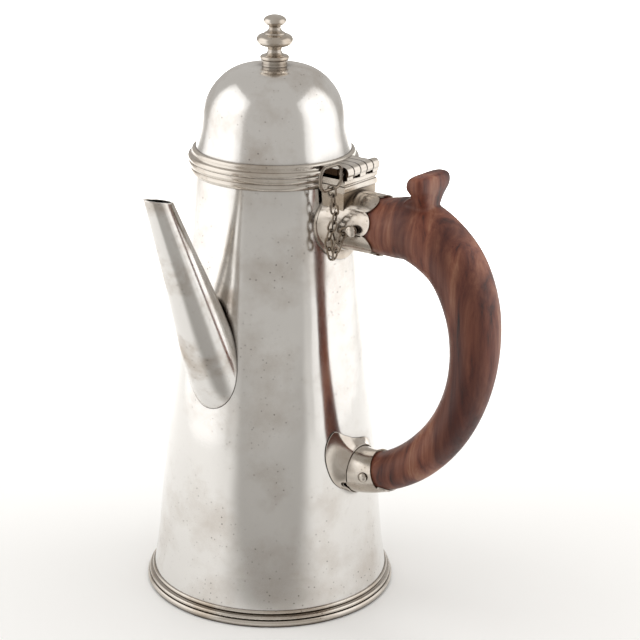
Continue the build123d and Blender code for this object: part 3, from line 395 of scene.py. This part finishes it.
# ---------------------------------------------------------------- silver
def silver(name, stain, roughness, clean=SILVER, waves=0.0, dents=0.0, crevice=2.5, joints=0.0):
    """Sterling silver, polished, and worn by cleaning.

    It mirrors the room in a warm grey. Years of rubbing leave hairline scratches and pits that blur the
    mirror, and a brown film stays in pits and, as far as stain says, in patches on the open metal. In
    corners the colour is darkened, both for tarnish that stays where no cloth reaches and as painted
    shade.
    waves and dents are the depths in mm of the slow waves of hammered sheet and of the small dents of use.
    crevice is how far in mm that darkening reaches from a corner, and joints is the spacing in mm along Y
    of the dirty lines between the knuckles of the hinge.
    """
    material = bpy.data.materials.new(name)
    n = Nodes(material)
    where = n.add("ShaderNodeTexCoord").outputs["Object"]
    stains = n.add(
        "ShaderNodeTexNoise",
        {"Vector": where, "Scale": per_metre(STAIN_SPACING), "Detail": 5.0, "Roughness": 0.62},
    ).outputs["Fac"]
    patchy = n.add(
        "ShaderNodeMapRange",
        {"Value": stains, "From Min": 0.46, "From Max": 0.74, "To Min": 0.0, "To Max": stain},
    )
    # tarnish and painted shade: ambient occlusion darkens the colour in corners and next to other parts
    corners = n.add("ShaderNodeAmbientOcclusion", {"Distance": crevice * MM}, samples=8)
    tarnish_and_shade = n.add(
        "ShaderNodeMapRange",
        {"Value": corners.outputs["AO"], "From Min": 0.3, "From Max": 0.9, "To Min": 1.0, "To Max": 0.0},
    ).outputs["Result"]
    film = n.add(
        "ShaderNodeMix",
        {"Factor": patchy.outputs["Result"], 6: linear(clean), 7: linear(TARNISH)},
        data_type="RGBA",
    )
    if joints:
        along = n.add("ShaderNodeSeparateXYZ", {"Vector": where}).outputs["Y"]
        half = joints / 2 * MM
        shifted = n.add("ShaderNodeMath", {0: along, 1: half}, operation="ADD")
        nearest = n.add("ShaderNodeMath", {0: shifted.outputs[0], 1: half}, operation="PINGPONG")
        line = n.add(
            "ShaderNodeMapRange",
            {
                "Value": nearest.outputs[0],
                "From Min": 0.12 * MM,
                "From Max": 0.5 * MM,
                "To Min": 1.0,
                "To Max": 0.0,
            },
        )
        tarnish_and_shade = n.add(
            "ShaderNodeMath", {0: tarnish_and_shade, 1: line.outputs["Result"]}, operation="MAXIMUM"
        ).outputs[0]
    pit_distance = n.add(
        "ShaderNodeTexVoronoi", {"Vector": where, "Scale": per_metre(PIT_SPACING)}, feature="F1"
    ).outputs["Distance"]
    speck = n.add(
        "ShaderNodeMapRange",
        {"Value": pit_distance, "From Min": 0.08, "From Max": 0.16, "To Min": 1.0, "To Max": 0.0},
    )
    dirty = n.add(
        "ShaderNodeMapRange",
        {"Value": stains, "From Min": 0.45, "From Max": 0.65, "To Min": 0.1, "To Max": 0.75},
    )
    specks = n.add(
        "ShaderNodeMath", {0: speck.outputs["Result"], 1: dirty.outputs["Result"]}, operation="MULTIPLY"
    )
    tarnish_and_shade = n.add(
        "ShaderNodeMath", {0: tarnish_and_shade, 1: specks.outputs[0]}, operation="MAXIMUM"
    ).outputs[0]
    film_and_shade = n.add(
        "ShaderNodeMix",
        {"Factor": tarnish_and_shade, 6: film.outputs[2], 7: linear(DEEP_TARNISH_AND_SHADE)},
        data_type="RGBA",
    )

    hairlines = n.add(
        "ShaderNodeTexNoise",
        {"Vector": where, "Scale": per_metre(SCRATCH_SPACING), "Detail": 3.0, "Distortion": 1.5},
    )
    pit_edge = n.add(
        "ShaderNodeMapRange",
        {"Value": pit_distance, "From Min": 0.0, "From Max": 0.12, "To Min": 0.0, "To Max": 1.0},
    )
    blur = n.add(
        "ShaderNodeMapRange",
        {
            "Value": stains,
            "From Min": 0.3,
            "From Max": 0.75,
            "To Min": roughness * 0.75,
            "To Max": roughness * 1.7,
        },
    )
    normal = n.add(
        "ShaderNodeBump",
        {"Height": hairlines.outputs["Fac"], "Strength": 0.25, "Distance": SCRATCH_DEPTH * MM},
    ).outputs["Normal"]
    normal = n.add(
        "ShaderNodeBump",
        {"Height": pit_edge.outputs[0], "Strength": 0.3, "Distance": PIT_DEPTH * MM, "Normal": normal},
    ).outputs["Normal"]
    for depth, spacing in ((waves, PLANISH_SPACING), (dents, DENT_SPACING)):
        if depth:
            relief = n.add(
                "ShaderNodeTexNoise",
                {"Vector": where, "Scale": per_metre(spacing), "Detail": 1.0, "Roughness": 0.4},
            )
            normal = n.add(
                "ShaderNodeBump",
                {"Height": relief.outputs[0], "Strength": 1.0, "Distance": depth * MM, "Normal": normal},
            ).outputs["Normal"]
    shader = n.add(
        "ShaderNodeBsdfPrincipled",
        {
            "Base Color": film_and_shade.outputs[2],
            "Metallic": 1.0,
            "Roughness": blur.outputs["Result"],
            "Normal": normal,
        },
    )
    n.add("ShaderNodeOutputMaterial", {"Surface": shader.outputs["BSDF"]})
    return material


# ---------------------------------------------------------------- wood
GRAIN_LEAN = 7.0                   # degrees from upright
GRAIN_SHRINK = (1.0, 0.6, 0.075)   # of the pattern; along the grain it is drawn out about thirteen times


def rosewood():
    """Rosewood, carved from a plank whose grain stands upright, scraped and oiled.

    Dark streaks run up the plank, across the handle at its ends and along it at the grip. Short open pores
    run with them, and handling has left a dull sheen.
    """
    material = bpy.data.materials.new("rosewood, carved and oiled")
    n = Nodes(material)
    where = n.add("ShaderNodeTexCoord").outputs["Object"]
    grain = n.add(
        "ShaderNodeMapping",
        {"Vector": where, "Rotation": (0.0, radians(-GRAIN_LEAN), 0.0), "Scale": GRAIN_SHRINK},
    ).outputs["Vector"]
    streaks = n.add(
        "ShaderNodeTexNoise",
        {
            "Vector": grain,
            "Scale": per_metre(STREAK_WIDTH * 2),
            "Detail": 7.0,
            "Roughness": 0.66,
            "Distortion": 0.5,
        },
    )
    bands = n.add(
        "ShaderNodeTexNoise",
        {"Vector": grain, "Scale": per_metre(BAND_WIDTH * 2), "Detail": 2.0},
    )
    pores = n.add(
        "ShaderNodeTexNoise",
        {"Vector": grain, "Scale": per_metre(PORE_WIDTH * 2), "Detail": 2.0},
    )
    ramp = n.add("ShaderNodeValToRGB", {"Fac": streaks.outputs["Fac"]})
    stops = ramp.color_ramp.elements
    stops[0].position, stops[0].color = 0.33, linear(WOOD_DARK)
    stops[1].position, stops[1].color = 0.7, linear(WOOD_PALE)
    for position, colour in ((0.43, WOOD_RED), (0.55, WOOD_BODY)):
        stops.new(position).color = linear(colour)
    band_strength = n.add(
        "ShaderNodeMapRange",
        {"Value": bands.outputs["Fac"], "From Min": 0.38, "From Max": 0.62, "To Min": 0.0, "To Max": 0.95},
    )
    deep = n.add(
        "ShaderNodeMix",
        {"Factor": band_strength.outputs["Result"], 6: ramp.outputs["Color"], 7: linear(WOOD_BAND)},
        data_type="RGBA",
        blend_type="MULTIPLY",
    )
    sheen = n.add(
        "ShaderNodeMapRange",
        {"Value": pores.outputs["Fac"], "From Min": 0.3, "From Max": 0.7, "To Min": 0.56, "To Max": 0.42},
    )
    open_pores = n.add(
        "ShaderNodeBump", {"Height": pores.outputs["Fac"], "Strength": 0.5, "Distance": PORE_DEPTH * MM}
    )
    shader = n.add(
        "ShaderNodeBsdfPrincipled",
        {
            "Base Color": deep.outputs[2],
            "Roughness": sheen.outputs["Result"],
            "IOR": 1.5,
            "Coat Weight": 0.1,
            "Coat Roughness": 0.4,
            "Normal": open_pores.outputs["Normal"],
        },
    )
    n.add("ShaderNodeOutputMaterial", {"Surface": shader.outputs["BSDF"]})
    return material


def finish_with(material, *pieces):
    """Gives pieces a material; a CAD node is named, and a new piece is given itself."""
    for piece in pieces:
        obj = nodes[piece] if isinstance(piece, str) else piece
        for slot in obj.material_slots:
            slot.material = material
        if not obj.material_slots:
            obj.data.materials.append(material)


# Long clear reflections that waver a little, since the sheet is hammered flat by hand
sheet = silver("sterling silver sheet, planished", stain=0.4, roughness=0.12, waves=0.75, dents=0.035)
# Browner and duller than the body, since it is harder to reach with the cloth
spout_sheet = silver(
    "sterling silver sheet, seamed and bent", stain=1.0, roughness=0.15, waves=0.4, dents=0.04
)
# Broad soft highlights, with a brown film and painted shade that thin out upwards from the flange
raised = silver(
    "sterling silver, raised and polished", stain=0.55, roughness=0.14, waves=0.5, dents=0.03, crevice=8.0
)
# Bright worn ridges between grooves darkened by tarnish and painted shade
moulded = silver(
    "sterling silver mouldings, scraped and worn",
    clean=SILVER_WARM,
    stain=0.8,
    roughness=0.17,
    crevice=2.8,
)
# Dull and brown, darkened in its steps by tarnish and painted shade
cast = silver(
    "sterling silver castings, polished", clean=SILVER_DULL, stain=0.9, roughness=0.19, crevice=4.5
)
# Worn bright, with a dark line at each joint
knuckles = silver(
    "sterling silver hinge, dirty between its knuckles",
    clean=SILVER_WARM,
    stain=0.8,
    roughness=0.18,
    crevice=3.0,
    joints=KNUCKLE_PITCH,
)
# Bright on the lobes that the hand rubs, brown behind them with tarnish and painted shade
sockets = silver(
    "sterling silver sockets, pieced",
    clean=SILVER_WARM,
    stain=0.75,
    roughness=0.16,
    dents=0.03,
    crevice=4.0,
)
# Grey and hardly mirroring, since no cloth gets between the links, which are darkened by tarnish and
# painted shade
wire = silver("sterling silver wire, drawn", clean=WIRE, stain=1.0, roughness=0.22, crevice=2.2)
wood = rosewood()

finish_with(sheet, "body_shell", "base_plate")
finish_with(spout_sheet, "spout", drawn_spout())
finish_with(raised, "lid_dome", "lid_bezel")
finish_with(
    moulded,
    "foot_moulding",
    "rim_moulding",
    "lid_flange",
    "finial",
    turned_finial(),
    "finial_plug",
    "finial_socket",
)
finish_with(cast, "hinge_bracket")
finish_with(knuckles, "body_knuckles", "lid_hinge_leaf")
finish_with(
    sockets,
    "upper_socket",
    "upper_socket_plate",
    "upper_rivet",
    "lower_socket",
    "lower_socket_bell",
    flared_bell(),
    "lower_rivet",
)
finish_with(wire, "hinge_pin", "chain_eye", *[name for name in nodes if name.startswith("chain_link")])
finish_with(wood, "handle", carved_handle())


# ---------------------------------------------------------------- studio
def place_camera():
    """Camera at the studio's angle: its axes from yaw, pitch and roll, turned round the pot."""
    yaw, pitch, roll = radians(CAMERA_YAW), radians(CAMERA_PITCH), radians(CAMERA_ROLL)
    forward = Vector((sin(yaw) * cos(pitch), cos(yaw) * cos(pitch), -sin(pitch)))
    level_right = Vector((cos(yaw), -sin(yaw), 0))
    level_up = level_right.cross(forward)
    right = cos(roll) * level_right + sin(roll) * level_up
    up = right.cross(forward)
    turn = Matrix.Rotation(radians(CAMERA_AZIMUTH), 4, "Z")
    axes = Matrix((right, up, -forward)).transposed().to_4x4()
    axes.translation = Vector((0, -CAMERA_DISTANCE, CAMERA_HEIGHT))
    camera = bpy.data.objects.new("camera", bpy.data.cameras.new("camera"))
    camera.data.sensor_width = SENSOR
    camera.data.lens = LENS
    camera.matrix_world = turn @ axes
    bpy.context.scene.collection.objects.link(camera)
    bpy.context.scene.camera = camera


PANEL_DISTANCE = 0.32      # metres from the pot's axis
PANEL_BOTTOM = -0.1
PANEL_HEIGHT = 0.68
PANEL_CLIMB = (0.85, 1.6)  # times its brightness, at its bottom and at its top
PANEL_FADES = (0.28, 0.3)  # shares of its width and height over which its edges dim
PANEL_EDGE = 0.45          # times its brightness, at its edges


def softbox(name, azimuth, width, brightness):
    """Upright panel of light that faces the pot; azimuth is counted from the camera's side.

    brightness is what a mirror shows of it, where 1 is pure white. The panel dims softly towards its edges
    and is brighter towards its top.
    """
    angle = radians(CAMERA_AZIMUTH + azimuth)
    outward = Vector((sin(angle), -cos(angle), 0))
    light = bpy.data.lights.new(name, "AREA")
    light.shape = "RECTANGLE"
    light.size, light.size_y = width, PANEL_HEIGHT
    light.energy = brightness * pi * width * PANEL_HEIGHT
    n = Nodes(light)
    place = n.add("ShaderNodeSeparateXYZ", {0: n.add("ShaderNodeNewGeometry").outputs["Parametric"]})
    strength = n.add(
        "ShaderNodeMapRange",
        {"Value": place.outputs[1], "To Min": PANEL_CLIMB[0], "To Max": PANEL_CLIMB[1]},
    ).outputs[0]
    for axis, rise in enumerate(PANEL_FADES):
        edge = n.add("ShaderNodeMath", {0: place.outputs[axis], 1: 0.5}, operation="PINGPONG")
        fade = n.add(
            "ShaderNodeMapRange",
            {"Value": edge.outputs[0], "From Max": rise, "To Min": PANEL_EDGE},
            interpolation_type="SMOOTHSTEP",
        )
        dimmed = n.add("ShaderNodeMath", {0: strength, 1: fade.outputs[0]}, operation="MULTIPLY")
        strength = dimmed.outputs[0]
    shine = n.add("ShaderNodeEmission", {"Strength": strength})
    n.add("ShaderNodeOutputLight", {"Surface": shine.outputs[0]})
    lamp = bpy.data.objects.new(name, light)
    lamp.location = PANEL_DISTANCE * outward + Vector((0, 0, PANEL_BOTTOM + PANEL_HEIGHT / 2))
    lamp.rotation_euler = (-outward).to_track_quat("-Z", "Y").to_euler()
    lamp.visible_camera = False
    bpy.context.scene.collection.objects.link(lamp)


SPOT_HEIGHT = 1.3          # metres
SPOT_BEHIND = 0.75         # metres behind the pot that it hangs
SPOT_AIM = 1.05            # metres behind the pot that it shines at
SPOT_WIDTH = 84.0          # degrees


def floor_light(watts):
    """Spot that whitens the floor behind the pot."""
    angle = radians(CAMERA_AZIMUTH)
    backward = Vector((-sin(angle), cos(angle), 0))
    light = bpy.data.lights.new("floor light", "SPOT")
    light.energy = watts
    light.spot_size = radians(SPOT_WIDTH)
    light.spot_blend = 0.75
    light.shadow_soft_size = 0.15
    lamp = bpy.data.objects.new("floor light", light)
    lamp.location = SPOT_BEHIND * backward + Vector((0, 0, SPOT_HEIGHT))
    aim = SPOT_AIM * backward - lamp.location
    lamp.rotation_euler = aim.to_track_quat("-Z", "Y").to_euler()
    bpy.context.scene.collection.objects.link(lamp)


CEILING_HEIGHT = 1.5       # metres
CEILING_WIDTH = 1.4


def ceiling_light(watts):
    """Wide light overhead that whitens the floor round the pot; the silver doesn't mirror it."""
    light = bpy.data.lights.new("ceiling light", "AREA")
    light.size, light.energy = CEILING_WIDTH, watts
    lamp = bpy.data.objects.new("ceiling light", light)
    lamp.location = (0, 0, CEILING_HEIGHT)
    lamp.visible_camera = lamp.visible_glossy = False
    bpy.context.scene.collection.objects.link(lamp)


FLOOR_HALF = 3.0               # metres
PAINTED_SHADOW_WEDGE = 0.85             # half width of the painted shadow on the paper, per metre in front of the pot
WEDGE_EDGE = (-0.08, 0.02)     # metres past that width, from full tone to none
WEDGE_START = (-0.1, -0.06)    # metres behind the pot's axis, so less than 0: from full tone to none
WEDGE_FADE = (-0.7, -0.12)     # the same, from pale to full tone
WEDGE_PALE = 0.25              # share of the tone that is left where it is pale


def lay_floor():
    """Plain pale floor of studio paper, matt.

    A soft grey painted shadow, as a flag would cast, fans out on it in front of the pot and fades
    away, and the silver mirrors it.
    """
    half = FLOOR_HALF
    corners = [(-half, -half, 0), (half, -half, 0), (half, half, 0), (-half, half, 0)]
    mesh = bpy.data.meshes.new("floor")
    mesh.from_pydata(corners, [], [(0, 1, 2, 3)])
    floor = bpy.data.objects.new("floor", mesh)
    paper = bpy.data.materials.new("studio paper, matt, with a painted shadow")
    n = Nodes(paper)
    turned = n.add(
        "ShaderNodeMapping",
        {
            "Vector": n.add("ShaderNodeTexCoord").outputs["Object"],
            "Rotation": (0.0, 0.0, radians(-CAMERA_AZIMUTH)),
        },
    )
    place = n.add("ShaderNodeSeparateXYZ", {"Vector": turned.outputs["Vector"]})
    aside = n.add("ShaderNodeMath", {0: place.outputs["X"]}, operation="ABSOLUTE")
    wedge = n.add(
        "ShaderNodeMath",
        {0: place.outputs["Y"], 1: PAINTED_SHADOW_WEDGE, 2: aside.outputs[0]},
        operation="MULTIPLY_ADD",
    )
    # painted shadow: how much the paper's colour is turned grey, in a wedge in front of the pot
    shade = 1.0
    for value, (first, last), (low, high), blend in (
        (wedge.outputs[0], WEDGE_EDGE, (1.0, 0.0), "SMOOTHSTEP"),
        (place.outputs["Y"], WEDGE_START, (1.0, 0.0), "SMOOTHSTEP"),
        (place.outputs["Y"], WEDGE_FADE, (WEDGE_PALE, 1.0), "LINEAR"),
    ):
        part = n.add(
            "ShaderNodeMapRange",
            {"Value": value, "From Min": first, "From Max": last, "To Min": low, "To Max": high},
            interpolation_type=blend,
        )
        shade = n.add("ShaderNodeMath", {0: shade, 1: part.outputs[0]}, operation="MULTIPLY").outputs[0]
    # painted shadow: the paper's white mixed towards grey where the wedge lies
    tone = n.add(
        "ShaderNodeMix",
        {"Factor": shade, 6: linear(PAPER_WHITE), 7: linear(PAINTED_SHADOW_GREY)},
        data_type="RGBA",
    )
    shader = n.add("ShaderNodeBsdfPrincipled", {"Base Color": tone.outputs[2], "Roughness": 0.9})
    n.add("ShaderNodeOutputMaterial", {"Surface": shader.outputs["BSDF"]})
    mesh.materials.append(paper)
    bpy.context.scene.collection.objects.link(floor)


def light_room(strength):
    """Even light from the room."""
    world = bpy.data.worlds.new("studio")
    world.use_nodes = True
    background = world.node_tree.nodes["Background"]
    background.inputs["Color"].default_value = linear(ROOM)
    background.inputs["Strength"].default_value = strength
    bpy.context.scene.world = world


place_camera()
lay_floor()
light_room(1.06)
softbox("softbox left", azimuth=-86, width=0.49, brightness=0.77)
softbox("softbox right", azimuth=84, width=0.48, brightness=0.71)
floor_light(150)
ceiling_light(6.8)
bpy.context.scene.view_settings.view_transform = "Standard"
